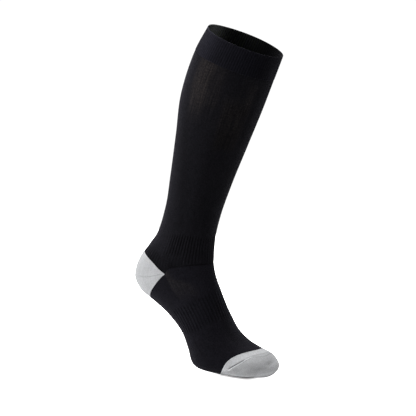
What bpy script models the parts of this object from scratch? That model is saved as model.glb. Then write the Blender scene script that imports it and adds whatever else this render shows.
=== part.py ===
"""A knee-high compression stocking, filled out as on a leg that leans forward over a raised heel and level toes.

It is knitted in the round, so its pieces are the zones of one tube: a doubled welt, the leg, a heel pocket, the
foot and a toe cap. The origin is the centre of the welt's opening. +X points to the toes and +Z is up. The plane
Y = 0 halves the stocking, except that the rim rolls a little to the -Y side and the toe cap's edge is turned a
little round the foot.

Sizes are in millimetres. A place on the knit has three numbers: how far it lies along the tube from the rim, its
share of the way round (0 at the front, 0.25 at the -Y side, 0.5 at the back), and its depth inside the surface.
"""

from collections import Counter, namedtuple

import bpy
import numpy as np

MM = 0.001
TURN_STEPS = 360  # chords that measure the length of an oval

KNIT_WALL = 1.2
POCKET_WALL = 1.6  # heel and toe are knitted with a reinforcing yarn
SEAM_GAP = 0.3

WELT_HEIGHT = 34.5
WELT_WALL = 2.4
WELT_PROUD = 0.4  # the doubled welt stands this far outside the leg
WELT_FOLD = 1.2  # height of the rounded fold at the rim
WELT_FOLD_TURNS = (68, 35, 0)  # degrees from the outward direction to each row of the fold
WELT_ROWS = 3
RIM_ROLL = 1.7  # degrees by which the rim hangs to the -Y side, less and less as far as below_welt

# The ankle line runs from heel point to heel point over the instep. It climbs to its rise beside the heel points,
# runs level round the sides, and dips at the front.
LINE_RISE = 8.5
LINE_CLIMB_POWER = 18  # the higher, the steeper the climb
LINE_DIP = 4.6
LINE_DIP_REACH = 0.55  # how far the dip goes, as a part of the way to a heel point

COLUMNS = 42  # facets round the tube
LEG_ROW, FOOT_ROW = 18, 9  # greatest lengths of a facet along the tube
HEEL_ROWS = 6
TOE_ROWS = 9

# The heel pocket is a diamond: how far its edges run from its points to the back, and how soon they level out.
HEEL_UP, HEEL_UP_POWER = 29.5, 2.4
HEEL_DOWN, HEEL_DOWN_POWER = 33, 1.5
HEEL_POINT = 10 / COLUMNS  # share of the way round
HEEL_CORNER = 0.005  # the pocket starts this far behind the point, at a short blunt end

# The toe cap's edge has a point towards the heel on each side. The cap is turned round the foot by TOE_TURN.
TOE_EDGE = 507.5
TOE_POINT = 16
TOE_POINT_POWER = 3.5
TOE_TURN = 0.143

# Ovals across the tube, from the rim to beyond the toes. Each has a front and a back point on the plane Y = 0.
# Its fullness moves its widest place towards the back, as a calf does. The table's own zero lies beside the rim's
# centre, to which VALUES moves it.
Section = namedtuple("Section", "name front_x front_z back_x back_z width fullness")
SECTIONS = (
    Section("rim", 50, -22, -48.5, 20.3, 104, 0.02),
    Section("below_welt", 37, -54, -68, -12, 106, 0.03),
    Section("upper_calf", 22, -91, -88, -66, 107, 0.05),
    Section("calf", 0, -142, -97, -123, 97, 0.08),
    Section("lower_calf", -22.5, -195, -107.5, -181, 80, 0.08),
    Section("shin", -38.5, -238, -117.5, -228, 68, 0.04),
    Section("above_ankle", -46, -268, -132, -266, 64, 0.0),
    Section("ankle", -47.5, -285, -145, -285, 65, 0.04),
    Section("heel_top", -47.5, -295, -159, -303, 66, 0.1),
    Section("gore", -47.5, -305, -167, -332, 66, 0.14),
    Section("heel_bottom", -46, -315, -157, -349, 66, 0.14),
    Section("heel_front", -43, -327, -138.5, -362.5, 65, 0.1),
    Section("instep", -38, -341, -121, -374, 67, 0.04),
    Section("arch", -31.5, -359, -105, -387, 71, 0.0),
    Section("waist", -24, -378, -90, -403, 76, 0.0),
    Section("forefoot", -14, -396, -80, -423, 84, 0.0),
    Section("ball", 1, -409, -71, -446, 90, 0.0),
    Section("toe_root", 22, -418, -28, -455, 86, 0.0),
    Section("toes", 38, -423, 9, -457, 82, 0.0),
    Section("toe_end", 53.5, -428, 44.5, -455, 76, 0.0),
)
TOE_ROUND_POWER = 2.3  # from toe_root on, the ovals shrink to a point at toe_end as a superellipse does

KNIT_BLACK = dict(colour=(0.0078, 0.0074, 0.0098), roughness=0.85)
YARN_GREY = dict(colour=(0.485, 0.488, 0.495), roughness=0.9)


def stations():
    """Each section's way along the tube from the rim: the mean of the ways along the front and the back."""
    front = np.array([(row.front_x, row.front_z) for row in SECTIONS], float)
    back = np.array([(row.back_x, row.back_z) for row in SECTIONS], float)
    steps = [np.linalg.norm(np.diff(line, axis=0), axis=1) for line in (front, back)]
    return np.concatenate([[0], np.cumsum((steps[0] + steps[1]) / 2)])


STATIONS = stations()
VALUES = np.array([row[1:] for row in SECTIONS], float)
VALUES[:, :4] -= np.tile((VALUES[0, :2] + VALUES[0, 2:4]) / 2, 2)
STATION = {row.name: place for row, place in zip(SECTIONS, STATIONS)}


def table_at(along):
    """The table's numbers at these places along the tube, on a smooth curve through its rows."""
    spans = np.diff(STATIONS)[:, None]
    rises = np.diff(VALUES, axis=0) / spans
    slopes = np.concatenate(
        [
            rises[:1],
            (rises[:-1] * spans[1:] + rises[1:] * spans[:-1]) / (spans[1:] + spans[:-1]),
            rises[-1:],
        ]
    )
    row = np.clip(np.searchsorted(STATIONS, along, side="right") - 1, 0, len(spans) - 1)
    span = spans[row]
    part = (along - STATIONS[row])[..., None] / span
    return (
        (2 * part**3 - 3 * part**2 + 1) * VALUES[row]
        + (part**3 - 2 * part**2 + part) * span * slopes[row]
        + (3 * part**2 - 2 * part**3) * VALUES[row + 1]
        + (part**3 - part**2) * span * slopes[row + 1]
    )


def oval(along, angle):
    """Points of the ovals at these places along the tube, at an angle from the front of each."""
    front_x, front_z, back_x, back_z, width, fullness = np.moveaxis(table_at(along), -1, 0)
    beyond = (along - STATION["toe_root"]) / (STATION["toe_end"] - STATION["toe_root"])
    shrink = (1 - np.clip(beyond, 0, 1) ** TOE_ROUND_POWER) ** (1 / TOE_ROUND_POWER)
    across = shrink * np.cos(angle)
    x = (front_x + back_x) / 2 + across * (front_x - back_x) / 2
    z = (front_z + back_z) / 2 + across * (front_z - back_z) / 2
    y = -shrink * np.sin(angle) * width / 2 * (1 - fullness * np.cos(angle))
    roll = np.tan(np.radians(RIM_ROLL)) * np.clip(1 - along / STATION["below_welt"], 0, 1) ** 2
    return np.stack([x, y, z + roll * y], -1)


def angle_at(along, share):
    """The oval's angle at which this share of its length lies behind, from the front."""
    angles = np.linspace(0, 2 * np.pi, TURN_STEPS + 1)
    rings = oval(along[..., None], angles)
    lengths = np.linalg.norm(np.diff(rings, axis=-2), axis=-1).cumsum(-1)
    lengths = np.concatenate([np.zeros_like(lengths[..., :1]), lengths], -1)
    found = [
        np.interp(part % 1, length / length[-1], angles)
        for part, length in zip(share.ravel(), lengths.reshape(-1, len(angles)))
    ]
    return np.reshape(found, share.shape)


def knit(along, share, depth=0.0):
    """Points of the knit at these places, on its surface or at a depth inside it."""
    along, share, depth = np.broadcast_arrays(
        *(np.asarray(value, float) for value in (along, share, depth))
    )
    angle = angle_at(along, share)
    step, turn = 0.05, 0.01
    onward = oval(along + step, angle) - oval(along - step, angle)
    around = oval(along, angle + turn) - oval(along, angle - turn)
    outward = np.cross(around, onward)
    outward /= np.linalg.norm(outward, axis=-1, keepdims=True)
    return oval(along, angle) - depth[..., None] * outward


def from_front(share):
    """The shorter way round from the front: 0 at the front and 0.5 at the back, on either side."""
    return 0.5 - np.abs(0.5 - share % 1)


def ankle_line(share):
    onward = np.clip(from_front(share) / HEEL_POINT, 0, 1)
    dip = LINE_DIP * np.cos(np.pi / 2 * np.clip(onward / LINE_DIP_REACH, 0, 1)) ** 2
    return STATION["gore"] - (LINE_RISE - dip) * (1 - onward**LINE_CLIMB_POWER)


def heel_part(share):
    """0 at the heel points and in front of them, 1 at the back."""
    return np.clip((from_front(share) - HEEL_POINT) / (0.5 - HEEL_POINT), 0, 1)


def leg_end(share):
    """The ankle line in front and the heel pocket's upper edge behind."""
    return ankle_line(share) - HEEL_UP * (1 - (1 - heel_part(share)) ** HEEL_UP_POWER)


def foot_start(share):
    """The ankle line in front and the heel pocket's lower edge behind."""
    return ankle_line(share) + HEEL_DOWN * (1 - (1 - heel_part(share)) ** HEEL_DOWN_POWER)


def toe_edge(share):
    point = np.abs(np.cos(2 * np.pi * (share - TOE_TURN))) ** TOE_POINT_POWER
    return TOE_EDGE - TOE_POINT * point


def welt_edge(share):
    return WELT_HEIGHT + 0 * share


def beside(edge, share, distance):
    """An edge moved along the tube until it lies at this distance from the facets' edges that met on it, or further
    from one of the two."""
    place = edge(share)
    onward = (knit(place + 1, share) - knit(place - 1, share)) / 2
    gains = []
    for step in (-1 / COLUMNS, 1 / COLUMNS):
        facet = knit(edge(share + step), share + step) - knit(place, share)
        facet /= np.linalg.norm(facet, axis=-1, keepdims=True)
        gains.append(np.linalg.norm(np.cross(onward, facet), axis=-1))
    return place + distance / np.min(gains, axis=0)


def net(rows, columns, joined, capped=False):
    """Faces between a grid's points, with its last column joined to its first or not, and a point after its last
    row or not."""
    steps = range(columns if joined else columns - 1)
    faces = [
        (
            row * columns + column,
            row * columns + (column + 1) % columns,
            (row + 1) * columns + (column + 1) % columns,
            (row + 1) * columns + column,
        )
        for row in range(rows - 1)
        for column in steps
    ]
    last = (rows - 1) * columns
    if capped:
        faces += [(last + column, last + (column + 1) % columns, rows * columns) for column in steps]
    return faces


def rim(a, b, count):
    """Two triangles from a net's open edge to its back. Their shared edge starts at the lower number, so that the
    rims on both sides of a seam are folded alike and keep their gap."""
    if a < b:
        return [(b, a, count + b), (a, count + a, count + b)]
    return [(b, a, count + a), (b, count + a, count + b)]


def add_wall(name, material, outer, inner, faces):
    """One closed body from an open net of faces: the net on the outer points, its back on the inner points, and
    a rim along each open edge."""
    count = len(outer)
    edges = [(face[i - 1], face[i]) for face in faces for i in range(len(face))]
    uses = Counter(frozenset(edge) for edge in edges)
    backs = [tuple(count + corner for corner in reversed(face)) for face in faces]
    rims = [half for a, b in edges if uses[frozenset((a, b))] == 1 for half in rim(a, b, count)]
    mesh = bpy.data.meshes.new(name)
    mesh.from_pydata(np.concatenate([outer, inner]) * MM, [], faces + backs + rims)
    mesh.shade_smooth()
    mesh.materials.append(material)
    piece = bpy.data.objects.new(name, mesh)
    bpy.data.collections["stocking"].objects.link(piece)
    piece.parent = bpy.data.objects["cuff_centre"]


def add_tube(name, material, start, end, longest):
    """A piece that goes all the way round, between two edges, with facets up to the longest along the tube."""
    columns = np.arange(COLUMNS) / COLUMNS
    first, last = beside(start, columns, SEAM_GAP / 2), beside(end, columns, -SEAM_GAP / 2)
    rows = np.linspace(0, 1, int(np.ceil((last - first).max() / longest)) + 1)
    along = first + rows[:, None] * (last - first)
    outer, inner = (knit(along, columns, depth).reshape(-1, 3) for depth in (0, KNIT_WALL))
    add_wall(name, material, outer, inner, net(len(rows), COLUMNS, joined=True))


def add_welt(material):
    """The doubled band, with a rounded fold at the rim."""
    columns = np.arange(COLUMNS) / COLUMNS
    end = beside(welt_edge, columns, -SEAM_GAP / 2)
    turn = np.radians(WELT_FOLD_TURNS)[:, None]
    fold = WELT_FOLD * (1 - np.sin(turn)) + 0 * columns
    band = WELT_FOLD + np.linspace(0, 1, WELT_ROWS + 1)[1:, None] * (end - WELT_FOLD)
    along = np.concatenate([fold, band])
    pinch = np.concatenate([WELT_WALL / 2 * (1 - np.cos(turn)), np.zeros((WELT_ROWS, 1))])
    outer = knit(along, columns, pinch - WELT_PROUD).reshape(-1, 3)
    inner = knit(along, columns, WELT_WALL - WELT_PROUD - pinch).reshape(-1, 3)
    add_wall("welt", material, outer, inner, net(len(along), COLUMNS, joined=True))


def add_heel(material):
    """The pocket between the leg and the foot, from one heel point round the back to the other."""
    columns = np.arange(round(HEEL_POINT * COLUMNS), round((1 - HEEL_POINT) * COLUMNS) + 1) / COLUMNS
    columns[0] += HEEL_CORNER
    columns[-1] -= HEEL_CORNER
    first, last = beside(leg_end, columns, SEAM_GAP / 2), beside(foot_start, columns, -SEAM_GAP / 2)
    rows = np.linspace(0, 1, HEEL_ROWS + 1)
    along = first + rows[:, None] * (last - first)
    outer, inner = (knit(along, columns, depth).reshape(-1, 3) for depth in (0, POCKET_WALL))
    add_wall("heel", material, outer, inner, net(len(rows), len(columns), joined=False))


def add_toe(material):
    """The cap from its edge to the rounded end. Its rows crowd towards the end, where the ovals shrink fastest."""
    columns = np.arange(COLUMNS) / COLUMNS
    first = beside(toe_edge, columns, SEAM_GAP / 2)
    rows = np.sin(np.linspace(0, np.pi / 2, TOE_ROWS + 1))[:-1]
    along = first + rows[:, None] * (STATION["toe_end"] - first)
    front_x, front_z, back_x, back_z = VALUES[-1, :4]
    tip = np.array([(front_x + back_x) / 2, 0, (front_z + back_z) / 2])
    forward = np.array([front_z - back_z, 0, back_x - front_x])
    forward = forward / np.linalg.norm(forward)
    walls = []
    for depth in (0, POCKET_WALL):
        sides = knit(along, columns, depth).reshape(-1, 3)
        walls.append(np.concatenate([sides, [tip - depth * forward]]))
    add_wall("toe", material, *walls, net(TOE_ROWS, COLUMNS, joined=True, capped=True))


def new_material(name, colour, roughness):
    material = bpy.data.materials.new(name)
    material.use_nodes = True
    shader = material.node_tree.nodes["Principled BSDF"]
    shader.inputs["Base Color"].default_value = (*colour, 1)
    shader.inputs["Roughness"].default_value = roughness
    shader.inputs["Metallic"].default_value = 0
    return material


def main():
    for thing in list(bpy.data.objects):
        bpy.data.objects.remove(thing)
    collection = bpy.data.collections.new("stocking")
    bpy.context.scene.collection.children.link(collection)
    collection.objects.link(bpy.data.objects.new("cuff_centre", None))
    add_welt(new_material("welt_knit", **KNIT_BLACK))
    add_tube("leg", new_material("leg_knit", **KNIT_BLACK), welt_edge, leg_end, LEG_ROW)
    add_heel(new_material("heel_knit", **YARN_GREY))
    add_tube("foot", new_material("foot_knit", **KNIT_BLACK), foot_start, toe_edge, FOOT_ROW)
    add_toe(new_material("toe_knit", **YARN_GREY))


main()
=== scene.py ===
"""A knee-high compression stocking of fine black elastic knit, with a light grey heel pocket and toe cap.

Each knitted zone is a thin shell on the form of its solid. A place on the knit is given by how far it lies
along the tube from the rim, in millimetres, and its share of the way round: 0 at the front, 0.25 at the -Y
side, 0.5 at the back.
"""

import math
from collections import namedtuple

import bpy
import numpy as np
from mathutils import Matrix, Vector


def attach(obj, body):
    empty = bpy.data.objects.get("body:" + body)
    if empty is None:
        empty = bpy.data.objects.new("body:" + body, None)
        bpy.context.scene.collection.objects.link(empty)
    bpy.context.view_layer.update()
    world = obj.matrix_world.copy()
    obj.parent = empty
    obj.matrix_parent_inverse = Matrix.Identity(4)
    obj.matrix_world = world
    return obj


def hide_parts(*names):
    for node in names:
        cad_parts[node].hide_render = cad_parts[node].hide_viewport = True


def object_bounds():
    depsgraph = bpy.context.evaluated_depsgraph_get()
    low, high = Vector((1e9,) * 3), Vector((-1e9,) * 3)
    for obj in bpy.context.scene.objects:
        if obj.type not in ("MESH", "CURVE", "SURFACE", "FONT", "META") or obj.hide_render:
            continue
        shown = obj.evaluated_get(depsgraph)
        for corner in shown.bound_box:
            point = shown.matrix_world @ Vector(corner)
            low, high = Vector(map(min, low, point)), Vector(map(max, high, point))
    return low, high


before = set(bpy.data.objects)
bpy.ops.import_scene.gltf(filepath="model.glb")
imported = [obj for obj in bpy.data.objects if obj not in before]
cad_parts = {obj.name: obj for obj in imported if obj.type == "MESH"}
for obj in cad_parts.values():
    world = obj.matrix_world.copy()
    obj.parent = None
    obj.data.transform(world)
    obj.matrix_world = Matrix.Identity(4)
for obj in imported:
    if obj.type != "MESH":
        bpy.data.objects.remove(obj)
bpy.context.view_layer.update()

MM = 0.001

# ---------------------------------------------------------------- the form, as in the solids

Section = namedtuple("Section", "name front_x front_z back_x back_z width fullness")
SECTIONS = (
    Section("rim", 50, -22, -48.5, 20.3, 104, 0.02),
    Section("below_welt", 37, -54, -68, -12, 106, 0.03),
    Section("upper_calf", 22, -91, -88, -66, 107, 0.05),
    Section("calf", 0, -142, -97, -123, 97, 0.08),
    Section("lower_calf", -22.5, -195, -107.5, -181, 80, 0.08),
    Section("shin", -38.5, -238, -117.5, -228, 68, 0.04),
    Section("above_ankle", -46, -268, -132, -266, 64, 0.0),
    Section("ankle", -47.5, -285, -145, -285, 65, 0.04),
    Section("heel_top", -47.5, -295, -159, -303, 66, 0.1),
    Section("gore", -47.5, -305, -167, -332, 66, 0.14),
    Section("heel_bottom", -46, -315, -157, -349, 66, 0.14),
    Section("heel_front", -43, -327, -138.5, -362.5, 65, 0.1),
    Section("instep", -38, -341, -121, -374, 67, 0.04),
    Section("arch", -31.5, -359, -105, -387, 71, 0.0),
    Section("waist", -24, -378, -90, -403, 76, 0.0),
    Section("forefoot", -14, -396, -80, -423, 84, 0.0),
    Section("ball", 1, -409, -71, -446, 90, 0.0),
    Section("toe_root", 22, -418, -28, -455, 86, 0.0),
    Section("toes", 38, -423, 9, -457, 82, 0.0),
    Section("toe_end", 53.5, -428, 44.5, -455, 76, 0.0),
)
TOE_ROUND_POWER = 2.3
RIM_ROLL = 1.7  # degrees

WELT_HEIGHT = 34.5
LINE_RISE = 8.5
LINE_CLIMB_POWER = 18
LINE_DIP = 4.6
LINE_DIP_REACH = 0.55
HEEL_UP, HEEL_UP_POWER = 29.5, 2.4
HEEL_DOWN, HEEL_DOWN_POWER = 33, 1.5
HEEL_POINT = 10 / 42
TOE_EDGE = 507.5
TOE_POINT = 16
TOE_POINT_POWER = 3.5
TOE_TURN = 0.143


def stations():
    front = np.array([(row.front_x, row.front_z) for row in SECTIONS], float)
    back = np.array([(row.back_x, row.back_z) for row in SECTIONS], float)
    steps = [np.linalg.norm(np.diff(line, axis=0), axis=1) for line in (front, back)]
    return np.concatenate([[0], np.cumsum((steps[0] + steps[1]) / 2)])


STATIONS = stations()
VALUES = np.array([row[1:] for row in SECTIONS], float)
VALUES[:, :4] -= np.tile((VALUES[0, :2] + VALUES[0, 2:4]) / 2, 2)
STATION = {row.name: place for row, place in zip(SECTIONS, STATIONS)}


def table_at(along):
    """The table's numbers at these places along the tube, on a smooth curve through its rows."""
    spans = np.diff(STATIONS)[:, None]
    rises = np.diff(VALUES, axis=0) / spans
    slopes = np.concatenate(
        [rises[:1], (rises[:-1] * spans[1:] + rises[1:] * spans[:-1]) / (spans[1:] + spans[:-1]), rises[-1:]]
    )
    row = np.clip(np.searchsorted(STATIONS, along, side="right") - 1, 0, len(spans) - 1)
    span = spans[row]
    part = (along - STATIONS[row])[..., None] / span
    return (
        (2 * part**3 - 3 * part**2 + 1) * VALUES[row]
        + (part**3 - 2 * part**2 + part) * span * slopes[row]
        + (3 * part**2 - 2 * part**3) * VALUES[row + 1]
        + (part**3 - part**2) * span * slopes[row + 1]
    )


def oval(along, angle):
    """Points of the ovals at these places along the tube, at an angle from the front of each."""
    front_x, front_z, back_x, back_z, width, fullness = np.moveaxis(table_at(along), -1, 0)
    beyond = (along - STATION["toe_root"]) / (STATION["toe_end"] - STATION["toe_root"])
    shrink = (1 - np.clip(beyond, 0, 1) ** TOE_ROUND_POWER) ** (1 / TOE_ROUND_POWER)
    across = shrink * np.cos(angle)
    x = (front_x + back_x) / 2 + across * (front_x - back_x) / 2
    z = (front_z + back_z) / 2 + across * (front_z - back_z) / 2
    y = -shrink * np.sin(angle) * width / 2 * (1 - fullness * np.cos(angle))
    roll = np.tan(np.radians(RIM_ROLL)) * np.clip(1 - along / STATION["below_welt"], 0, 1) ** 2
    return np.stack([x, y, z + roll * y], -1)


def arc_table():
    """The angle at each share of the way round, for every millimetre and half degree of the tube."""
    angles = np.linspace(0, 2 * np.pi, 361)
    shares = np.linspace(0, 1, 721)
    rings = oval(np.arange(int(STATIONS[-1]))[:, None] + 0 * angles, angles)
    lengths = np.linalg.norm(np.diff(rings, axis=1), axis=-1).cumsum(1)
    lengths = np.concatenate([np.zeros_like(lengths[:, :1]), lengths], 1)
    return np.array([np.interp(shares, length / length[-1], angles) for length in lengths])


ARCS = arc_table()


def angle_at(along, share):
    row = np.clip(along, 0, len(ARCS) - 1.001)
    column = (share % 1) * (ARCS.shape[1] - 1)
    i, j = row.astype(int), column.astype(int)
    a, b = row - i, column - j
    return (
        ARCS[i, j] * (1 - a) * (1 - b)
        + ARCS[i, j + 1] * (1 - a) * b
        + ARCS[i + 1, j] * a * (1 - b)
        + ARCS[i + 1, j + 1] * a * b
    )


def knit(along, share, lift=0.0):
    """Points of the knit at these places, on the form's surface or lifted off it."""
    along, share, lift = np.broadcast_arrays(*(np.asarray(value, float) for value in (along, share, lift)))
    angle = angle_at(along, share)
    step, turn = 0.05, 0.01
    onward = oval(along + step, angle) - oval(along - step, angle)
    around = oval(along, angle + turn) - oval(along, angle - turn)
    outward = np.cross(around, onward)
    outward /= np.linalg.norm(outward, axis=-1, keepdims=True)
    return oval(along, angle) + lift[..., None] * outward


def from_front(share):
    return 0.5 - np.abs(0.5 - share % 1)


def ankle_line(share):
    onward = np.clip(from_front(share) / HEEL_POINT, 0, 1)
    dip = LINE_DIP * np.cos(np.pi / 2 * np.clip(onward / LINE_DIP_REACH, 0, 1)) ** 2
    return STATION["gore"] - (LINE_RISE - dip) * (1 - onward**LINE_CLIMB_POWER)


def heel_part(share):
    return np.clip((from_front(share) - HEEL_POINT) / (0.5 - HEEL_POINT), 0, 1)


def leg_end(share):
    return ankle_line(share) - HEEL_UP * (1 - (1 - heel_part(share)) ** HEEL_UP_POWER)


def foot_start(share):
    return ankle_line(share) + HEEL_DOWN * (1 - (1 - heel_part(share)) ** HEEL_DOWN_POWER)


def toe_edge(share):
    return TOE_EDGE - TOE_POINT * np.abs(np.cos(2 * np.pi * (share - TOE_TURN))) ** TOE_POINT_POWER


def welt_edge(share):
    return WELT_HEIGHT + 0 * share


def stretch_across(edge, share):
    """How far along the tube one goes for each millimetre square to an edge."""
    place, step = edge(share), 0.001
    onward = np.linalg.norm(knit(place + 1, share) - knit(place - 1, share), axis=-1) / 2
    around = np.linalg.norm(knit(place, share + step) - knit(place, share - step), axis=-1)
    return np.hypot(1 / onward, (edge(share + step) - edge(share - step)) / around)


# ---------------------------------------------------------------- the knit's own coordinates

WALES = 300  # columns of stitches round the tube
COURSE = 0.8  # height of a row of stitches, in mm
COLUMNS = 2 * WALES

# Over the ankle the wales lean forward by this share of the way round, because the heel takes up cloth behind
# them. Along the tube they start to lean, lean most and are straight again at these places. Round it they
# lean fully from one share on, and less from another to the back.
LEAN = 7 / 360
LEAN_FROM, LEAN_TO, LEAN_BACK = 280, 338, 395
LEAN_FULL, LEAN_LESS, LEAN_FADE = 0.08, 0.27, 0.23
EDGE_STEPS = 12  # rounds in which a leaning wale closes in on an edge


def smooth(value):
    value = np.clip(value, 0, 1)
    return value * value * (3 - 2 * value)


def bump(value, centre, width):
    return np.exp(-(((value - centre) / width) ** 2))


def share_of(wale, along):
    """Where a wale runs: its share of the way round at each place along the tube."""
    leaning = smooth((along - LEAN_FROM) / (LEAN_TO - LEAN_FROM))
    leaning = leaning * (1 - smooth((along - LEAN_TO) / (LEAN_BACK - LEAN_TO)))
    aside = smooth(from_front(wale) / LEAN_FULL) * (1 - smooth((from_front(wale) - LEAN_LESS) / LEAN_FADE))
    return wale - np.sign(0.5 - wale % 1) * LEAN * leaning * aside


def reach_edge(edge, wale):
    """Where each wale meets an edge of its zone."""
    along = edge(wale)
    for _ in range(EDGE_STEPS):
        along = edge(share_of(wale, along))
    return along


def patch(value, low, high, soft):
    """1 from low to high, and 0 beyond soft edges outside them."""
    return smooth((value - low) / soft + 1) * smooth((high - value) / soft + 1)


def groove(wale, count, width):
    """1 in the middle of each of so many grooves round the tube, 0 between them."""
    part = np.abs((wale * count) % 1 - 0.5) * 2
    return np.exp(-(((1 - part) / width) ** 2))


# ---------------------------------------------------------------- shells

SEAM_GAP = 0.1
BAKE_MARGIN = 0.01  # left free round each piece's bake map
NEAR_ROWS = np.array([0, 0.25, 0.5, 0.8, 1.1, 1.5, 2.0, 2.7, 3.6])  # rows beside an edge, mm


def rows_between(start, end, count):
    """Rows from one edge to the other, close together beside both."""
    length = end - start
    close = NEAR_ROWS[:, None] * np.minimum(1, length / (3 * NEAR_ROWS[-1]))
    inner = np.linspace(0, 1, count + 2)[1:-1, None]
    middle = close[-1] + inner * (length - 2 * close[-1])
    return start + np.concatenate([close, middle, length - close[::-1]])


# Rows that turn in at an edge: how deep each lies, and how far past the edge, in mm. A zone's last edge runs
# on under the first edge of the next.
FIRST_HEM = ((0.5, 0.0),)
LAST_HEM = ((0.9, 0.0), (0.9, 0.6))
WELT_HEM = ((0.6, 0.0),)


def hemmed(grid, hems, sink=0.0, run=(0.0, 0.0)):
    """The grid with a copy of its first or last row for each row of their hems. A copy is lowered by sink
    times its depth. It is moved out past the edge by run's first part times its depth, and by the second
    times its way past the edge."""
    deep, far = run
    first = [grid[:1] - sink * depth - deep * depth - far * way for depth, way in reversed(hems[0])]
    last = [grid[-1:] - sink * depth + deep * depth + far * way for depth, way in hems[1]]
    return np.concatenate([*first, grid, *last])


def shell(name, places, lift, fields, material, hems, closed=True, capped=False):
    """A mesh on the form. Places are (wale, share, along), each a grid of rows along the tube and columns
    round it; on a closed tube the last column repeats the first. Fields are values for the material to read.
    A capped shell has a point in the middle of its last ring."""
    shape = places[0].shape
    lift = hemmed(np.broadcast_to(lift, shape), hems, sink=1.0)
    points = knit(hemmed(places[2], hems, run=(0.0, 1.0)), hemmed(places[1], hems), lift) * MM
    wale, share = hemmed(places[0], hems), hemmed(places[1], hems)
    along = hemmed(places[2], hems, run=(1.0, 1.0))
    fields = {key: hemmed(np.broadcast_to(grid, shape), hems) for key, grid in fields.items()}
    rows, columns = along.shape
    ring = columns - 1 if closed else columns
    corners = [(0, 0), (0, 1), (1, 1), (1, 0)]
    r, c = np.meshgrid(np.arange(rows - 1), np.arange(columns - 1), indexing="ij")
    quads = np.stack([(r + i) * ring + (c + j) % ring for i, j in corners], -1).reshape(-1, 4)
    spread = np.stack([share, (along - along.min()) / (along.max() - along.min())], -1)
    maps = {
        "Knit": np.stack([wale * WALES, along / COURSE], -1),
        "OFBake": BAKE_MARGIN
        + (1 - 2 * BAKE_MARGIN) * (spread - spread.min((0, 1))) / np.ptp(spread, axis=(0, 1)),
    }
    loops = {
        key: np.stack([grid[r + i, c + j] for i, j in corners], -2).reshape(-1, 2)
        for key, grid in maps.items()
    }
    faces = quads.tolist()
    points = points[:, :ring].reshape(-1, 3)
    if capped:
        last = (rows - 1) * ring
        faces += [(last + i, last + (i + 1) % ring, len(points)) for i in range(columns - 1)]
        points = np.concatenate([points, points[last:].mean(0, keepdims=True)])
        for key, grid in maps.items():
            a, b = grid[-1, :-1], grid[-1, 1:]
            top = (a + b) / 2 + (0, grid[-1, 0, 1] - grid[-2, 0, 1])
            loops[key] = np.concatenate([loops[key], np.stack([a, b, top], 1).reshape(-1, 2)])
    mesh = bpy.data.meshes.new(name)
    mesh.from_pydata(points.tolist(), [], faces)
    for key, coordinates in loops.items():
        mesh.uv_layers.new(name=key).data.foreach_set("uv", coordinates.ravel().astype(np.float32))
    for key, grid in fields.items():
        values = grid[:, :ring].ravel()
        if capped:
            values = np.append(values, values[-1])
        mesh.attributes.new(key, "FLOAT", "POINT").data.foreach_set("value", values.astype(np.float32))
    mesh.shade_smooth()
    mesh.materials.append(material)
    piece = bpy.data.objects.new(name, mesh)
    bpy.context.scene.collection.objects.link(piece)
    return piece


# ---------------------------------------------------------------- materials


class Graph:
    """Short names for the nodes that a knit needs."""

    def __init__(self, material):
        material.use_nodes = True
        self.tree = material.node_tree
        self.shader = self.tree.nodes["Principled BSDF"]

    def node(self, kind, **settings):
        made = self.tree.nodes.new(kind)
        for key, value in settings.items():
            setattr(made, key, value)
        return made

    def plug(self, socket, value):
        if isinstance(value, bpy.types.NodeSocket):
            self.tree.links.new(value, socket)
        else:
            socket.default_value = value

    def math(self, operation, *values, clamp=False):
        made = self.node("ShaderNodeMath", operation=operation, use_clamp=clamp)
        for socket, value in zip(made.inputs, values):
            self.plug(socket, value)
        return made.outputs[0]

    def add(self, *values):
        return self.chain("ADD", values)

    def times(self, *values):
        return self.chain("MULTIPLY", values)

    def chain(self, operation, values):
        total = values[0]
        for value in values[1:]:
            total = self.math(operation, total, value)
        return total

    def ramp(self, value, low, high, to_low=0.0, to_high=1.0):
        made = self.node("ShaderNodeMapRange", interpolation_type="SMOOTHSTEP")
        for socket, given in zip(made.inputs, (value, low, high, to_low, to_high)):
            self.plug(socket, given)
        return made.outputs[0]

    def field(self, name):
        return self.node("ShaderNodeAttribute", attribute_name=name).outputs["Fac"]

    def noise(self, vector, scale, detail=2.0, rough=0.5):
        made = self.node("ShaderNodeTexNoise")
        self.plug(made.inputs["Vector"], vector)
        made.inputs["Scale"].default_value = scale
        made.inputs["Detail"].default_value = detail
        made.inputs["Roughness"].default_value = rough
        return made.outputs["Fac"]

    def vector(self, x, y, z=0.0):
        made = self.node("ShaderNodeCombineXYZ")
        for socket, value in zip(made.inputs, (x, y, z)):
            self.plug(socket, value)
        return made.outputs[0]

    def mix(self, factor, a, b):
        made = self.node("ShaderNodeMix", data_type="RGBA")
        for key, value in (("Factor_Float", factor), ("A_Color", a), ("B_Color", b)):
            self.plug(next(s for s in made.inputs if s.identifier == key), value)
        return next(s for s in made.outputs if s.identifier == "Result_Color")

    def vary(self, noise, much):
        """A factor that noise from 0 to 1 varies by so much about 1."""
        return self.add(self.times(noise, much), 1 - much / 2)

    def shade(self, colour, amount):
        made = self.node("ShaderNodeVectorMath", operation="SCALE")
        self.plug(made.inputs[0], colour)
        self.plug(made.inputs["Scale"], amount)
        return made.outputs[0]


FIBRE_SCALE = 1400.0
GRAIN_SCALE = 600.0  # specks of about 1.5 mm
MOTTLE_SCALE = 60.0
MOTTLING = 0.24


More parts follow.
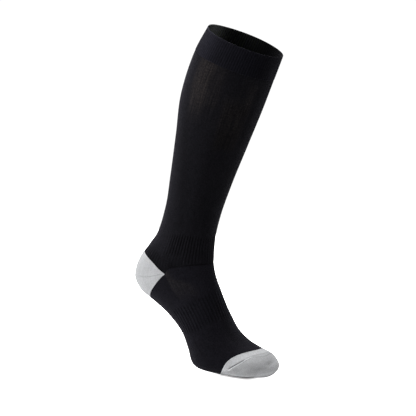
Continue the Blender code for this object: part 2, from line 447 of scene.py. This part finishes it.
def knit_material(name, yarn, shown, sheen, sheen_tint, gloss, roughness, grainy, seam_shade, relief):
    """Stockinette: each stitch is two slanted legs of yarn. Fields: "rib" is 1 in a groove, "thin" where the
    cloth is stretched and shows what is under it, "seam" the distance from the zone's edge in mm, and "line"
    how much darker the knit is painted there, or paler if negative: stitched lines, and painted shade and
    painted light."""
    material = bpy.data.materials.new(name)
    graph = Graph(material)
    place = graph.node("ShaderNodeUVMap", uv_map="Knit").outputs[0]
    split = graph.node("ShaderNodeSeparateXYZ")
    graph.plug(split.inputs[0], place)
    wale, course = split.outputs[0], split.outputs[1]
    aside = graph.math("ABSOLUTE", graph.add(graph.math("FRACT", wale), -0.5))
    across = graph.math("SINE", graph.times(aside, 2 * math.pi))
    slant = graph.add(course, graph.times(aside, 1.3))
    leg = graph.math("ABSOLUTE", graph.math("SINE", graph.times(slant, math.pi)))
    stitch = graph.times(
        graph.math("POWER", graph.math("MAXIMUM", across, 0.0), 0.6),
        graph.add(graph.times(leg, 0.65), 0.35),
    )
    coordinates = graph.node("ShaderNodeTexCoord").outputs["Object"]
    fibre = graph.noise(coordinates, FIBRE_SCALE)
    grain = graph.noise(coordinates, GRAIN_SCALE, 1.0)
    mottle = graph.noise(coordinates, MOTTLE_SCALE, 3.0)
    streaks = graph.noise(graph.vector(graph.times(wale, 0.45), graph.times(course, 0.02)), 1.0, 3.0)
    rib, thin, seam, line = (graph.field(key) for key in ("rib", "thin", "seam", "line"))
    # The colour is painted darker between the stitches' legs and in the ribs' grooves, painted shade in these
    # hollows. Beside a zone's edge the black knit is darker, partly its seam's own dark and partly painted
    # shade, and the grey knit paler, a painted highlight on its lip.
    amount = graph.times(
        graph.add(graph.times(stitch, 0.55), 0.62),
        graph.add(graph.times(fibre, 0.35), 0.82),
        graph.vary(grain, grainy),
        graph.vary(mottle, MOTTLING),
        graph.vary(streaks, MOTTLING),
        graph.add(1.0, graph.times(rib, -0.5)),
        graph.add(1.0, graph.times(line, -1.0)),
        graph.ramp(seam, 0.35, 1.3, seam_shade, 1.0),
    )
    speckle = graph.noise(graph.vector(graph.times(wale, 0.8), graph.times(course, 0.35)), 1.0, 2.0)
    through = graph.times(
        thin,
        graph.ramp(speckle, 0.32, 0.66, 0.3, 1.0),
        graph.ramp(streaks, 0.34, 0.62, 0.4, 1.25),
    )
    colour = graph.mix(through, (*yarn, 1), (*shown, 1))
    graph.plug(graph.shader.inputs["Base Color"], graph.shade(colour, amount))
    graph.plug(graph.shader.inputs["Roughness"], graph.add(graph.times(stitch, -0.08), roughness))
    lifted = graph.node("ShaderNodeBump")
    lifted.inputs["Strength"].default_value = 0.7
    lifted.inputs["Distance"].default_value = relief * MM
    graph.plug(lifted.inputs["Height"], graph.add(stitch, graph.times(fibre, 0.4)))
    graph.plug(graph.shader.inputs["Normal"], lifted.outputs[0])
    graph.shader.inputs["Specular IOR Level"].default_value = gloss
    graph.shader.inputs["Sheen Weight"].default_value = sheen
    graph.shader.inputs["Sheen Roughness"].default_value = 0.45
    graph.shader.inputs["Sheen Tint"].default_value = (*sheen_tint, 1)
    return material


BLACK = dict(
    yarn=(0.0083, 0.0079, 0.0108),
    shown=(0.0272, 0.0226, 0.0240),
    sheen=0.055,
    sheen_tint=(0.85, 0.82, 1.0),
    gloss=0.02,
    roughness=0.85,
    grainy=1.7,
    seam_shade=0.45,
    relief=0.16,
)
LEG_BLACK = {**BLACK, "yarn": (0.0074, 0.0071, 0.0091), "shown": (0.0275, 0.0234, 0.0230)}
GREY = dict(
    yarn=(0.483, 0.489, 0.502),
    shown=(0.56, 0.56, 0.56),
    sheen=0.18,
    sheen_tint=(0.98, 0.99, 1.0),
    gloss=0.05,
    roughness=0.9,
    grainy=0.35,
    seam_shade=1.22,
    relief=0.14,
)

# ---------------------------------------------------------------- zones


def tube_places(start, end, count, gap=SEAM_GAP / 2):
    wale = np.linspace(0, 1, COLUMNS + 1)
    first = reach_edge(lambda share: start(share) + gap * stretch_across(start, share), wale)
    last = reach_edge(lambda share: end(share) - gap * stretch_across(end, share), wale)
    along = rows_between(first, last, count)
    wale = wale + 0 * along
    share = share_of(wale, along)
    edges = ((first, start), (last, end))
    beside = [np.abs(along - edge) / stretch_across(line, share) for edge, line in edges]
    return (wale, share, along), beside


WELT_RIBS, ANKLE_RIBS, ARCH_RIBS, TOE_STRANDS = 100, 63, 50, 160  # round the whole tube
LEG_ROWS, FOOT_ROWS, HEEL_ROWS, TOE_ROWS = 130, 90, 34, 130
HEEL_COLUMNS = 320
HEEL_CORNER = 0.0015  # share of the way round that the pocket stops short of its point


def degrees(share):
    """From the front, -180 to 180, positive on the -Y side."""
    return (share * 360 + 180) % 360 - 180


def make_welt():
    """The doubled band: an outer and an inner layer joined by a rounded fold at the rim."""
    proud, inside, fold = 0.25, -1.1, 0.7
    turns = np.linspace(0, np.pi, 13)
    band = np.concatenate([[0, 0.3, 0.7, 1.2, 2.0], np.linspace(3.5, WELT_HEIGHT - fold, 20)])
    up = WELT_HEIGHT - SEAM_GAP / 2 - band[:-1]
    along = np.concatenate([up, fold * (1 - np.sin(turns)), up[::-1]])
    middle, half = (proud + inside) / 2, (proud - inside) / 2
    lift = np.concatenate([0 * band[:-1] + proud, middle + half * np.cos(turns), 0 * band[:-1] + inside])
    lift[0], lift[-1] = proud - 0.35, inside + 0.4
    lift[1] = proud - 0.1
    wale = np.linspace(0, 1, COLUMNS + 1)
    angle = degrees(wale)
    # The ribs are flattened at the front and where the calf is widest.
    clear = (0.4 + 0.45 * smooth((np.abs(angle) - 5) / 55)) * (1 - 0.15 * bump(angle, 118, 30))
    ribs = 1.5 * groove(wale, WELT_RIBS, 0.42) * clear
    fade = smooth((along - 0.3) / 2.0) * smooth((WELT_HEIGHT - along) / 1.0)
    outward = np.where(lift > middle, 1, -1)
    depth = lift[:, None] - 0.22 * outward[:, None] * fade[:, None] * ribs
    way = wale * 360
    grid = along[:, None] - 1.3 * bump(way, 172, 32) * (1 - smooth(along / 14))[:, None]
    places = (wale + 0 * grid, wale + 0 * grid, grid)
    # The outer layer is painted paler at the side, a painted highlight, and darker at the front, painted
    # shade. The inner one is painted pale at the back, painted light that falls on it there, less so beside
    # that, and dark round the front, painted shade.
    inner = (lift < middle)[:, None]
    pale = 0.85 * bump(angle, 121, 18) + 0.12 * patch(angle, 56, 86, 12)
    pale = pale - 0.42 * bump(angle, 22, 15) - 0.2 * bump(angle, -4, 14)
    inner_pale = 0.35 + 7.8 * patch(way, 160, 188, 36) + 2.75 * patch(way, 200, 236, 52)
    pale = np.where(inner, inner_pale - 1, pale)
    # Along the fold of the rim the knit is painted paler, a painted highlight, weakest at the front and less
    # at the sides, and at the front it is painted darker, painted shade.
    rim = 0.4 * bump(along, 0.2, 0.5)[:, None] * (0.2 + 0.8 * smooth((np.abs(angle) - 15) / 40))
    rim = rim * (1 - 0.5 * bump(angle, 94, 24)) * (1 - 0.85 * bump(angle, -38, 30))
    rim = rim - 0.5 * bump(along, 0.3, 0.9)[:, None] * bump(angle, -8, 22)
    fields = dict(
        rib=fade[:, None] * ribs,
        thin=inner + 0 * grid,
        seam=5 + 0 * grid,
        line=-pale - rim,
    )
    looks = {**BLACK, "yarn": (0.0076, 0.0074, 0.0108), "shown": (0.0080, 0.0089, 0.0062), "grainy": 0.9}
    material = knit_material("welt_yarn", **looks)
    return shell("welt_band", places, depth, fields, material, (WELT_HEM, ()))


def line_shade(away, side):
    """The dark of the stitched line over the ankle, round the front."""
    return np.exp(-((away / 1.0) ** 2)) * (1 - smooth((side - 66) / 14)) * (0.6 + 0.4 * bump(side, 24, 18))


SHIN_STREAKS = (  # angle, from and to along the tube, strength
    (25.5, 70, 120, 0.22),
    (30, 52, 112, 0.28),
    (35.5, 84, 150, 0.25),
    (41, 98, 140, 0.2),
    (49, 76, 128, 0.2),
    (57, 60, 96, 0.15),
)


def swell(side, along):
    """How far the cloth stands out at the back of the heel and just above it, mm."""
    return smooth((side - 105) / 30) * smooth((along - 284) / 14) * (1 - smooth((along - 352) / 16))


def heel_shade(away, side):
    """The dark of the black knit's edge beside the heel pocket, partly its seam's own dark and partly painted
    shade.
    """
    return 0.45 * bump(away, 0, 1.1) * smooth((side - 84) / 5)


def make_leg():
    places, (from_welt, from_line) = tube_places(welt_edge, leg_end, LEG_ROWS)
    wale, share, along = places
    angle, side = degrees(share), np.abs(degrees(share))
    # Ribs over the ankle, and for a short way above the heel.
    start = 275 + 4.5 * np.clip(1 - side / 60, 0, 1)
    over_ankle = smooth((along - start) / 4) * (1 - smooth((side - 88) / 28))
    over_ankle = over_ankle * (1.15 - 0.3 * smooth((along - 290) / 35))
    over_ankle = over_ankle * (1 - 0.5 * smooth((side - 56) / 10) * smooth((along - 304) / 8))
    over_ankle = over_ankle * (0.72 + 0.28 * smooth((side - 22) / 14))
    over_ankle = over_ankle * (1 + 0.3 * bump(side, 74, 7) * (along < 308))
    over_ankle = over_ankle * (0.3 + 0.7 * smooth((angle + 12) / 20) + 0.7 * smooth((-angle - 30) / 20))
    clear_of_edge = smooth((from_line - 0.6) / 3)
    near_heel = 0.3 * smooth((side - 88) / 8) * (1 - smooth((from_line - 8) / 8))
    ribs = 1.2 * groove(wale, ANKLE_RIBS, 0.4) * np.maximum(over_ankle, near_heel) * clear_of_edge
    behind_ribs = 0.85 * groove(wale, ANKLE_RIBS, 0.45) * patch(side, 106, 158, 8)
    behind_ribs = behind_ribs * (1 - smooth((from_line - 12) / 7))
    # Short ends of the welt's ribs run on past its edge, some further than others.
    reach = 1.2 + 2.2 * (0.5 + 0.5 * np.sin(91.7 * np.floor(wale * WELT_RIBS + 0.5)))
    ends = 0.8 * groove(wale, WELT_RIBS, 0.42) * (1 - smooth((from_welt - reach) / 1.5))
    ends = ends * patch(side, 18, 66, 14)
    seam_lift = -0.2 * np.exp(-((from_line / 0.9) ** 2)) - 0.1 * np.exp(-((from_welt / 0.8) ** 2))
    lift = seam_lift - 0.5 * ribs - 0.2 * ends - 0.25 * behind_ribs + swell(side, along)
    # Where the calf and the shin stretch it, the cloth lets through some of what is under it.
    calf_left, calf_right = 88.5 + 2 * bump(along, 68, 18), 117 - 5 * smooth((along - 64) / 35)
    calf = smooth((angle - calf_left) / 15 + 0.4) * smooth((calf_right - angle) / 11 + 0.5)
    calf = calf * (1 - smooth((along - 76) / 46)) * (0.84 + 0.24 * bump(along, 62, 18))
    beside_calf = 0.3 * patch(angle, 76, 90, 9) * patch(along, 40, 84, 14)
    shin = 0.2 * patch(angle, 26, 60, 6) * patch(along, 78, 128, 14)
    shin = shin + 0.2 * patch(angle, 24, 32, 4) * patch(along, 52, 122, 12)
    shin = shin + 0.06 * patch(angle, 62, 82, 8) * patch(along, 75, 110, 14)
    ruddy = patch(angle, 30, 56, 8) * patch(along, 88, 138, 16)
    shin = shin + 0.35 * ruddy
    shin = shin + 0.1 * patch(angle, 28, 44, 6) * patch(along, 42, 70, 8)
    for place, begins, ends_at, strength in SHIN_STREAKS:
        shin = shin + strength * bump(angle, place, 0.9) * patch(along, begins, ends_at, 16)
    stretched = 0.6 * calf * (1 - smooth((along - 45) / 45)) + 0.6 * shin + beside_calf
    streaked = groove(wale, WELT_RIBS, 0.5) * stretched
    # Beside the line under the ribs, at the side, the knit is painted darker, painted shade.
    under_ribs = 0.4 * bump(side, 75, 10) * (1 - smooth((from_line - 3) / 8))
    # Down the shin it is painted darker, painted shade, and paler at the back and at one place before the
    # ankle, painted light.
    painted_shade_and_light = 0.2 * patch(angle, 26, 60, 16) * patch(along, 128, 262, 22)
    painted_shade_and_light = painted_shade_and_light + 0.38 * patch(angle, -18, 15, 12) * patch(along, 40, 215, 20)
    painted_shade_and_light = painted_shade_and_light + 0.2 * bump(angle, 108 - 0.2 * (along - 155), 9) * patch(along, 130, 250, 30)
    painted_shade_and_light = painted_shade_and_light - 0.25 * smooth((angle - 120) / 20) * patch(along, 60, 290, 30)
    painted_shade_and_light = painted_shade_and_light + 0.27 * ruddy - 0.25 * bump(angle, -22, 14) * patch(along, 270, 325, 12)
    painted_shade_and_light = painted_shade_and_light + 0.18 * bump(angle, 21, 8) * patch(along, 62, 120, 15)
    # Behind the ankle it is painted darker above the heel, painted shade, beside two paler places at the
    # side, painted highlights.
    behind = 0.22 * smooth((side - 84) / 8) * (1 - smooth((from_line - 1) / 8))
    behind = behind + 0.1 * smooth((side - 116) / 14) * (1 - smooth((from_line - 14) / 14))
    behind = behind - 0.3 * bump(side, 106, 9) * bump(along, 300, 12)
    behind = behind - 0.3 * bump(side, 114, 18) * bump(along, 290, 16)
    fields = dict(
        rib=ribs + behind_ribs * clear_of_edge + 0.7 * ends + streaked,
        thin=np.clip(calf + beside_calf + shin, 0, 1),
        seam=from_line + 2.5 * (1 - smooth((side - 78) / 8)),
        line=0.85 * line_shade(from_line, side) + under_ribs + heel_shade(from_line, side) + behind + painted_shade_and_light,
    )
    material = knit_material("leg_yarn", **LEG_BLACK)
    return shell("leg_tube", places, lift, fields, material, (FIRST_HEM, LAST_HEM))


def make_foot():
    places, (from_line, from_toe) = tube_places(foot_start, toe_edge, FOOT_ROWS)
    wale, share, along = places
    angle, side = degrees(share), np.abs(degrees(share))
    later = 4 * smooth((side - 60) / 20)
    band = smooth((along - later - 387) / 4) * (1 - smooth((along - later - 426) / 6))
    band = band * (1 - smooth((side - 112) / 20))
    ribs = 1.05 * groove(wale, ARCH_RIBS, 0.42) * band * (1 - 0.35 * bump(side, 60, 12))
    ribs = ribs * (1 + 0.2 * patch(side, 70, 100, 10))
    lift = -0.2 * np.exp(-((from_line / 0.9) ** 2)) - 0.3 * np.exp(-((from_toe / 0.9) ** 2)) - 0.45 * ribs
    lift = lift + swell(side, along)
    # The instep is stretched in a fan from the heel point, with a sharp edge along the sole's half.
    left = 80 - 33 * smooth((along - 338) / 32)
    right = 84.5 - 1.2 * bump(along, 352, 8) + 1.5 * smooth((along - 352) / 12)
    fan = smooth((right - angle) / 2.5 + 0.5) * smooth((angle - left) / 16 + 0.5) * smooth((along - 333) / 3)
    strength = 0.3 * (1 - smooth((along - 372) / 18)) + 0.2 * (1 - smooth((along - 360) / 16))
    fan = fan * (strength + 0.3 * bump(along, 338, 5))
    # It is painted darker beside the fan and on top before the toes, painted shade, and paler at the side of
    # the ball, painted light. It is fuller over the toes' roots, a little to the +Y side.
    shade = 0.12 * bump(angle, 90, 3) * patch(along, 350, 384, 10)
    shade = shade - 0.16 * patch(angle, 80, 98, 10) * patch(along, 390, 420, 10)
    shade = shade + 0.4 * patch(angle, -8, 16, 14) * patch(along, 414, 460, 18)
    lift = lift + 1.2 * bump(angle, -20, 24) * smooth((along - 412) / 20) * smooth((from_toe - 1) / 14)
    # One faint crease bends over the side of the foot, with painted shade in it.
    crease = bump(angle, 97 - 0.0115 * (along - 437) ** 2, 2.2) * patch(along, 402, 458, 10)
    fields = dict(
        rib=ribs,
        thin=np.clip(fan, 0, 1),
        seam=np.minimum(from_line + 2.5 * (1 - smooth((side - 78) / 8)), from_toe),
        line=0.7 * line_shade(from_line, side) + heel_shade(from_line, side) + shade + 0.16 * crease,
    )
    material = knit_material("foot_yarn", **{**BLACK, "shown": (0.0262, 0.0234, 0.0234)})
    return shell("foot_tube", places, lift - 0.25 * crease, fields, material, (FIRST_HEM, LAST_HEM))


def make_heel():
    share = np.linspace(HEEL_POINT + HEEL_CORNER, 1 - HEEL_POINT - HEEL_CORNER, HEEL_COLUMNS + 1)
    slack = [SEAM_GAP / 2 * stretch_across(edge, share) for edge in (leg_end, foot_start)]
    first, last = leg_end(share) + slack[0], foot_start(share) - slack[1]
    along = rows_between(first, last, HEEL_ROWS)
    share = share + 0 * along
    beside = np.minimum(
        np.abs(along - first) / stretch_across(leg_end, share),
        np.abs(last - along) / stretch_across(foot_start, share),
    )
    inward = smooth((from_front(share) - HEEL_POINT) / 0.03)
    lip = (0.35 * bump(beside, 1.0, 0.6) - 0.3 * bump(beside, 0, 0.35)) * inward
    way = from_front(share) * 360
    gore = STATION["gore"] + 0.5 * smooth((way - 90) / 30) - 1.6 * smooth((way - 112) / 35)
    shown = smooth((way - 88) / 6) * (1 - smooth((way - 130) / 24))
    # Along the gore the knit folds in: it is painted darker in the fold, painted shade, and paler either side
    # of it, painted highlights.
    fold = bump(along, gore, 0.7) * shown
    fields = dict(
        rib=0 * along,
        thin=0 * along,
        seam=beside,
        line=0.28 * fold - 0.06 * bump(along, gore, 2.2) * shown,
    )
    material, hems = knit_material("heel_yarn", **GREY), (FIRST_HEM, LAST_HEM)
    lift = lip - 0.35 * fold + swell(way, along)
    return shell("heel_pocket", (share, share, along), lift, fields, material, hems, closed=False)


def make_toe():
    share = np.linspace(0, 1, COLUMNS + 1)
    first = toe_edge(share) + SEAM_GAP / 2 * stretch_across(toe_edge, share)
    end = STATION["toe_end"]
    near = NEAR_ROWS[:, None] + 0 * share
    onward = np.sin(np.linspace(0, np.pi / 2, TOE_ROWS))[1:-1, None]
    along = np.concatenate([first + near, first + NEAR_ROWS[-1] + onward * (end - first - NEAR_ROWS[-1])])
    share = share + 0 * along
    beside = (along - first) / stretch_across(toe_edge, share)
    angle = degrees(share)
    lip = 0.35 * bump(beside, 1.0, 0.6) - 0.3 * bump(beside, 0, 0.35)
    # A tuck on the -Y side runs on over the toes as the linked seam, two rows that part on top.
    line = 508 + 0.05 * np.clip(85 - angle, 0, 38) + 14.6 * smooth((47 - angle) / 62)
    held = smooth((angle - 47) / 8) * (1 - smooth((angle - 87) / 4))
    # The tuck's crease is painted darker, painted shade, and the ridge beside it paler, a painted highlight.
    crease = bump(along, line, 0.75) * held
    ridge = bump(along, line + 2.3, 1.1) * smooth((angle - 30) / 18) * (1 - smooth((angle - 91) / 5))
    second = 515 + 16.5 * (1 - (1 - np.clip((35 - angle) / 38, 0, 1)) ** 2)
    # The seam's two rows are darker, partly their own dark and partly painted shade in their grooves, and the
    # knit between them paler, painted light.
    first_row = bump(along, line, 0.7) * smooth((50 - angle) / 8) * smooth((angle + 45) / 25)
    second_row = bump(along, second, 0.8) * smooth((36 - angle) / 10) * smooth((angle + 40) / 20)
    between = bump(along, (line + second) / 2, 1.6) * smooth((30 - angle) / 10) * smooth((angle + 40) / 20)
    # Above the tuck and the rows the knit is paler, partly its own tone and partly painted light on the top.
    # Below lie two soft hollows, a bulge by the tuck's end, a dent, and a fold low on the side: the hollows
    # and the dent are painted darker, painted shade, and the bulge and the fold paler, painted highlights.
    # The end is full above and below. The rounded end and some places low at the sides are painted paler,
    # painted highlights, and what faces down is painted darker, painted shade.
    above = smooth((line - along) / 3 + 0.5) * smooth((angle + 75) / 20) * (1 - smooth((angle - 92) / 12))
    hollow = 1.3 * bump(angle, 28, 18) * bump(along, 549, 4.5)
    hollow = hollow + 0.7 * bump(angle, 74, 10) * bump(along, 545, 6)
    hollow = hollow + 0.6 * bump(angle, 74, 17) * bump(along, 538, 14)
    bulge = bump(angle, 97, 7) * bump(along, 506, 6)
    dent = bump(angle, 88, 6) * bump(along, 518, 6)
    fold = bump(angle, 110 - 0.23 * (along - 515), 2.5) * patch(along, 513, 538, 6)
    x, _, z = np.moveaxis(knit(along, share), -1, 0)
    full = 2.5 * bump(z, -449.5, 6.5) * smooth((x - 24) / 16)
    full = full + 1.1 * bump(angle, -25, 25) * bump(along, 536, 12)
    full = full - 1.0 * bump(angle, 140, 24) * patch(along, 500, 524, 12) * smooth((beside - 1) / 8)
    facing_down = -(knit(along, share, 1.0) - knit(along, share))[..., 2]
    below = 0.8 * smooth((facing_down - 0.78) / 0.16) * smooth((beside - 2) / 10)
    under = bump(angle, 106, 5) * patch(along, 512, 545, 6)
    beyond = smooth((along - 550) / 3) * smooth((75 - angle) / 20)
    beyond = beyond + bump(angle, -24, 14) * patch(along, 538, 550, 6)
    beyond = beyond + 0.8 * smooth((along - 543) / 5) * smooth((angle - 65) / 15) * smooth((130 - angle) / 15)
    beyond = beyond + 0.7 * bump(angle, 122, 14) * patch(along, 500, 520, 8)
    strands = 0.5 + 0.5 * np.cos(2 * np.pi * TOE_STRANDS * share)
    rows = 0.36 * (first_row + second_row) - 0.08 * between
    fields = dict(
        rib=0.12 * strands * above,
        thin=0 * along,
        seam=beside,
        line=0.9 * crease - 0.8 * ridge + rows - 0.22 * above - 0.01 + 0.17 * hollow - 0.2 * fold
        - 0.28 * bulge + 0.12 * dent - 0.18 * beyond - 0.2 * under + below,
    )
    lift = lip - 1.5 * crease + 0.7 * ridge - 0.35 * (first_row + second_row)
    lift = lift - 0.9 * hollow + 0.5 * fold + 0.7 * bulge - 0.5 * dent + full
    material = knit_material("toe_yarn", **GREY)
    return shell("toe_cap", (share, share, along), lift, fields, material, (FIRST_HEM, ()), capped=True)


def hold(piece, node):
    """The piece rides on the stocking in its node's place."""
    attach(piece, "root")
    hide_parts(node)


hold(make_welt(), "welt")
hold(make_leg(), "leg")
hold(make_heel(), "heel")
hold(make_foot(), "foot")
hold(make_toe(), "toe")

# ---------------------------------------------------------------- floor, light and camera

FLOOR_REACH = 1.0
FLOOR_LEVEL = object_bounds()[0].z - 0.0002


def add_floor():
    mesh = bpy.data.meshes.new("floor")
    corners = [(FLOOR_REACH * x, FLOOR_REACH * y, 0) for x, y in ((-1, -1), (1, -1), (1, 1), (-1, 1))]
    mesh.from_pydata(corners, [], [(0, 1, 2, 3)])
    floor = bpy.data.objects.new("floor", mesh)
    floor.location = (0, 0, FLOOR_LEVEL)
    bpy.context.scene.collection.objects.link(floor)
    material = bpy.data.materials.new("floor_white")
    material.use_nodes = True
    shader = material.node_tree.nodes["Principled BSDF"]
    shader.inputs["Base Color"].default_value = (0.9, 0.9, 0.9, 1)
    shader.inputs["Roughness"].default_value = 0.8
    shader.inputs["Emission Color"].default_value = (1, 1, 1, 1)
    tree = material.node_tree
    seen = tree.nodes.new("ShaderNodeLightPath").outputs["Is Camera Ray"]
    # Seen from the camera the floor glows white, and ambient occlusion dims the glow beside the stocking, a
    # painted contact shadow.
    near = tree.nodes.new("ShaderNodeAmbientOcclusion")
    near.samples = 8
    near.inputs["Distance"].default_value = CONTACT
    glow = tree.nodes.new("ShaderNodeMapRange")
    for socket, value in zip(glow.inputs[1:], (0, 1, 0, FLOOR_GLOW)):
        socket.default_value = value
    lit = tree.nodes.new("ShaderNodeMath")
    lit.operation = "MULTIPLY"
    tree.links.new(near.outputs["AO"], glow.inputs[0])
    tree.links.new(glow.outputs[0], lit.inputs[0])
    tree.links.new(seen, lit.inputs[1])
    tree.links.new(lit.outputs[0], shader.inputs["Emission Strength"])
    mesh.materials.append(material)


def put_light(name, lamp, place, aim):
    light = bpy.data.objects.new(name, lamp)
    light.location = place
    light.rotation_euler = (aim - place).to_track_quat("-Z", "Y").to_euler()
    bpy.context.scene.collection.objects.link(light)


def add_area(name, place, aim, size, power):
    lamp = bpy.data.lights.new(name, "AREA")
    lamp.shape = "DISK"
    lamp.size = size
    lamp.energy = power
    put_light(name, lamp, place, aim)


def add_cuff_light():
    """A narrow soft lamp that reaches the back of the cuff's inside over its front."""
    lamp = bpy.data.lights.new("cuff", "SPOT")
    for key, value in CUFF_LAMP.items():
        setattr(lamp, key, value)
    azimuth, elevation, distance = CUFF_LAMP_FROM
    place = CUFF_AIM + distance * back_of(CAMERA_AZIMUTH + azimuth, elevation)
    put_light("cuff", lamp, place, CUFF_AIM)


def back_of(azimuth, elevation):
    a, e = math.radians(azimuth), math.radians(elevation)
    return Vector((math.sin(a) * math.cos(e), -math.cos(a) * math.cos(e), math.sin(e)))


CAMERA_AZIMUTH, CAMERA_ELEVATION = 27, 8.5
CAMERA_AIM = Vector((-0.05575, 0, -0.22615))
CAMERA_DISTANCE = 1.5
PICTURE = 416  # pixels a side
FOCAL_PIXELS = 1095
FILL, BACKDROP, FLOOR_GLOW, CONTACT = 0.07, 1.05, 1.4, 0.0035
LAMPS = (  # name, azimuth from the camera's, elevation, distance, size, power
    ("key", -70, 25, 1.3, 0.9, 12.0),
    ("top", -30, 75, 1.5, 1.2, 13.5),
    ("back", 180, 50, 1.3, 0.9, 19),
    ("side", 110, 25, 1.3, 0.9, 1.5),
    ("edge", -120, 20, 1.3, 0.9, 2.5),
)
CUFF_LAMP = dict(energy=70, spot_size=math.radians(2.4), spot_blend=1.0, shadow_soft_size=0.02)
CUFF_LAMP_FROM = (65, 38, 1.3)  # azimuth from the camera's, elevation, distance
CUFF_AIM = Vector((-0.046, 0.012, 0.008))


def add_camera():
    camera = bpy.data.objects.new("camera", bpy.data.cameras.new("camera"))
    back = back_of(CAMERA_AZIMUTH, CAMERA_ELEVATION)
    camera.location = CAMERA_AIM + back * CAMERA_DISTANCE
    camera.rotation_euler = (-back).to_track_quat("-Z", "Y").to_euler()
    camera.data.lens = FOCAL_PIXELS / PICTURE * camera.data.sensor_width
    camera.data.clip_start, camera.data.clip_end = 0.05, 50
    bpy.context.scene.collection.objects.link(camera)
    bpy.context.scene.camera = camera


def add_world():
    """White behind the stocking, and a dim even light on it from all round."""
    world = bpy.data.worlds.new("studio")
    world.use_nodes = True
    tree = world.node_tree
    seen = tree.nodes.new("ShaderNodeLightPath").outputs["Is Camera Ray"]
    strength = tree.nodes.new("ShaderNodeMapRange")
    for socket, value in zip(strength.inputs[1:], (0, 1, FILL, BACKDROP)):
        socket.default_value = value
    tree.links.new(seen, strength.inputs[0])
    tree.links.new(strength.outputs[0], tree.nodes["Background"].inputs["Strength"])
    tree.nodes["Background"].inputs["Color"].default_value = (1, 1, 1, 1)
    bpy.context.scene.world = world


add_floor()
for name, azimuth, elevation, distance, size, power in LAMPS:
    place = CAMERA_AIM + distance * back_of(CAMERA_AZIMUTH + azimuth, elevation)
    add_area(name, place, CAMERA_AIM, size, power)
add_cuff_light()
add_world()
bpy.context.scene.view_settings.view_transform = "Standard"
add_camera()
